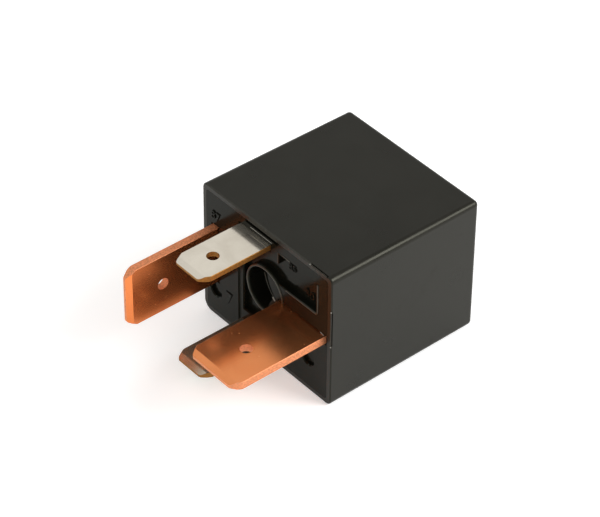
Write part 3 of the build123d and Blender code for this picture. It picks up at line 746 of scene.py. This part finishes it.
def raised_number(name, text, size, spot, height):
    """Figures that stand on the terminal face or on the pocket's floor. Size and spot in mm."""
    letters = bpy.data.curves.new(name, "FONT")
    letters.body = text
    letters.size = size * MM
    letters.align_x = "CENTER"
    letters.align_y = "CENTER"
    letters.extrude = height
    letters.bevel_depth = FIGURE_BEVEL
    letters.bevel_resolution = 1
    letters.offset = THINNER_STROKE
    letters.resolution_u = 4
    upright = Matrix.Rotation(math.radians(90), 4, "X")
    mesh = curve_to_mesh(letters, Matrix.Translation(Vector(spot) * MM) @ upright)
    return add_to_base(name, mesh, base_finish)


numbers = [raised_number(name, *values) for name, values in FIGURES.items()]
print("raised numbers:", [n.name for n in numbers])

# %% [markdown]
# ## Soft crests of the moulded relief
# The ring and the edges of the pocket have softly rounded crests, a tenth of a millimetre high.
# They matter only for the light: a round crest always finds some lamp to mirror, and draws fine
# pale lines. A bevel on the solid would do it too, but these edges are short and broken, so each
# crest is a thin bead, half sunk into the plastic. Two beads lie in the rim's reliefs, in a paler,
# warmer black that is painted light over the shade of those notches. The nose in the well ends in a
# short pale tip, and short pale beads lie along the roots of two blades and at the ends of the
# rim's two reliefs: these are painted highlights, glints given a pale colour.

# %% Rounded crests
RING_CENTRE = (-0.2, 0.45)
RING_CREST = 3.7
RING_STEPS = 72


def ring_points():
    angles = [2 * math.pi * step / RING_STEPS for step in range(RING_STEPS)]
    return [
        (RING_CENTRE[0] + RING_CREST * math.cos(a), RING_CENTRE[1] + RING_CREST * math.sin(a))
        for a in angles
    ]


def crest(name, points, radius, finish=crest_finish, closed=False):
    """A bead through points (x, z) on the terminal face, all in mm."""
    line = bpy.data.curves.new(name, "CURVE")
    line.dimensions = "3D"
    line.bevel_depth = radius * MM
    line.bevel_resolution = 3
    run = line.splines.new("POLY")
    run.points.add(len(points) - 1)
    for spot, (x, z) in zip(run.points, points):
        spot.co = (x * MM, 0, z * MM, 1)
    run.use_cyclic_u = closed
    mesh = curve_to_mesh(line, Matrix.Identity(4))
    mesh.shade_smooth()
    return add_to_base(name, mesh, finish)


# Points (x, z) and radii in millimetres.
SILL = [(4.2, 3.3), (10.2, 3.3), (10.44, 3.37), (10.57, 3.54), (10.6, 3.8), (10.6, 8.4)]
STEP = [(2.5, 6.9), (2.5, 8.7), (5.0, 8.7)]
NOSE = [(-0.3, 3.55), (0.1, 2.5), (0.55, 1.6), (1.15, 0.85), (1.75, 0.45)]
# Radii of the painted highlights: short beads in a pale colour that stand in for glints.
GLINT_SPOT = 0.085
GLINT_BEAD = 0.05
crests = [
    crest("ring_crest", ring_points(), 0.15, closed=True),
    crest("sill_crest", SILL, 0.12),
    crest("step_crest", STEP, 0.08),
    # These two beads sit in the rim's reliefs; their paler, warmer colour is painted light over the
    # shade there.
    crest("top_relief", [(9.15, 10.92), (12.4, 10.92)], 0.11, painted_light_relief_finish),
    crest("side_relief", [(13.31, -0.35), (13.31, 5.35)], 0.11, painted_light_relief_finish),
    # Painted highlights: pale beads that stand in for glints at the ends of the reliefs, at two
    # blade roots and on the nose.
    crest("relief_glint_top", [(8.95, 10.9), (9.15, 10.9)], GLINT_SPOT, painted_highlight_finish),
    crest("relief_glint_high", [(13.33, 5.42), (13.33, 5.6)], GLINT_SPOT, painted_highlight_finish),
    crest("relief_glint_low", [(13.33, -0.6), (13.33, -0.42)], GLINT_SPOT, painted_highlight_finish),
    crest("root_glint_30", [(11.24, 0.76), (11.94, 0.6)], GLINT_BEAD, painted_highlight_finish),
    crest("vent_glint", [(-3.2, 9.46), (1.2, 9.46)], GLINT_BEAD, painted_highlight_finish),
    crest("nose_crest", NOSE, 0.045),
    # Painted highlight: the pale nose tip stands in for a glint.
    crest("nose_tip_glint", [(1.45, 0.36), (1.95, -0.02)], 0.11, painted_highlight_finish),
]
print("crests:", [c.name for c in crests])

# %% [markdown]
# ## The floor
# The photo is a cut-out on white. Rendering without a floor would lose the contact shadow, so the
# floor is a plain pale sheet that also glows a little. Only rays from the camera, or from a mirror
# or glass, see that glow: it whitens the ground and lights nothing.

# %% Floor
FLOOR_WHITE = (0.86, 0.86, 0.86, 1)
FLOOR_GLOW = 0.35
FLOOR_REACH = 4.0
FLOOR_GAP = 0.01 * MM


def make_floor():
    material, tree, shader = start_material("pale_floor", Roughness=0.9)
    shader.inputs["Base Color"].default_value = FLOOR_WHITE
    shader.inputs["Specular IOR Level"].default_value = 0.0
    path = add_node(tree, "LightPath", -600, 300)
    glow = add_node(tree, "Emission", -300, 300)
    glow.inputs["Color"].default_value = (1, 1, 1, 1)
    seen = maths(tree, "MAXIMUM", path.outputs["Is Camera Ray"], path.outputs["Is Glossy Ray"])
    seen = maths(tree, "MAXIMUM", seen, path.outputs["Is Transmission Ray"])
    join(tree, maths(tree, "MULTIPLY", seen, FLOOR_GLOW), glow.inputs["Strength"])
    both = add_node(tree, "AddShader", 300, 300)
    join(tree, shader.outputs[0], both.inputs[0])
    join(tree, glow.outputs[0], both.inputs[1])
    join(tree, both.outputs[0], tree.nodes["Material Output"].inputs["Surface"])
    mesh = bpy.data.meshes.new("floor")
    low = cad_box[0][2] - FLOOR_GAP
    corners = [
        (x * FLOOR_REACH, y * FLOOR_REACH, low) for x, y in ((-1, -1), (1, -1), (1, 1), (-1, 1))
    ]
    mesh.from_pydata(corners, [], [(0, 1, 2, 3)])
    mesh.materials.append(material)
    floor = bpy.data.objects.new("floor", mesh)
    bpy.context.scene.collection.objects.link(floor)
    return floor


floor = make_floor()
print("floor at", round(floor.data.vertices[0].co.z, 5))

# %% [markdown]
# ## The world
# A glossy black box is judged by what it mirrors. A photo studio hangs white cloth around it, and
# that could be modelled, but a world with a smooth gradient does the same without any edges: it is
# bright near the horizon and dimmer overhead.

# %% World
CLOTH_WHITE = (1.0, 0.99, 0.97, 1)
HORIZON_LIGHT = 1.05
OVERHEAD_LIGHT = 0.67
OVERHEAD = 0.9


def make_world():
    world = bpy.data.worlds.new("white_tent")
    bpy.context.scene.world = world
    world.use_nodes = True
    tree = world.node_tree
    sky = tree.nodes["Background"]
    sky.inputs["Color"].default_value = CLOTH_WHITE
    heading = add_node(tree, "TexCoord", -900, 0).outputs["Generated"]
    split = add_node(tree, "SeparateXYZ", -700, 0)
    join(tree, heading, split.inputs[0])
    dome = spread(tree, split.outputs["Z"], 0.0, OVERHEAD, HORIZON_LIGHT, OVERHEAD_LIGHT)
    join(tree, dome, sky.inputs["Strength"])
    return world


world = make_world()
print("world:", world.name)

# %% [markdown]
# ## The lamps
# A point lamp would burn hard spots into black gloss, so both lamps are soft areas. The bright
# line along the cover's rounded edge is the mirror image of a lamp, and the key softbox stands to
# the right and behind, where that edge mirrors it. A small, weak one at the front left draws the
# thin pale line on the chamfer around the terminal face.

# %% Lamps
def add_softbox(name, spot, aim, size, power):
    lamp = bpy.data.lights.new(name, "AREA")
    lamp.shape = "RECTANGLE"
    lamp.size, lamp.size_y = size
    lamp.energy = power
    box = bpy.data.objects.new(name, lamp)
    bpy.context.scene.collection.objects.link(box)
    box.location = spot
    box.rotation_euler = (Vector(aim) - Vector(spot)).to_track_quat("-Z", "Y").to_euler()
    return box


lamps = [
    add_softbox("key_softbox", (0.45, 0.36, 0.42), (0, 0, 0), (0.46, 0.36), 4.2),
    add_softbox("front_softbox", (-0.264, -0.30, 0.205), (0, 0, 0), (0.09, 0.09), 0.12),
]
print("lamps:", len(lamps))

# %% [markdown]
# ## The view
# A film-like view would grey the white ground and fade the copper. The standard one shows each
# colour about as it is written.

# %% View
bpy.context.scene.view_settings.view_transform = "Standard"
print("view:", bpy.context.scene.view_settings.view_transform)
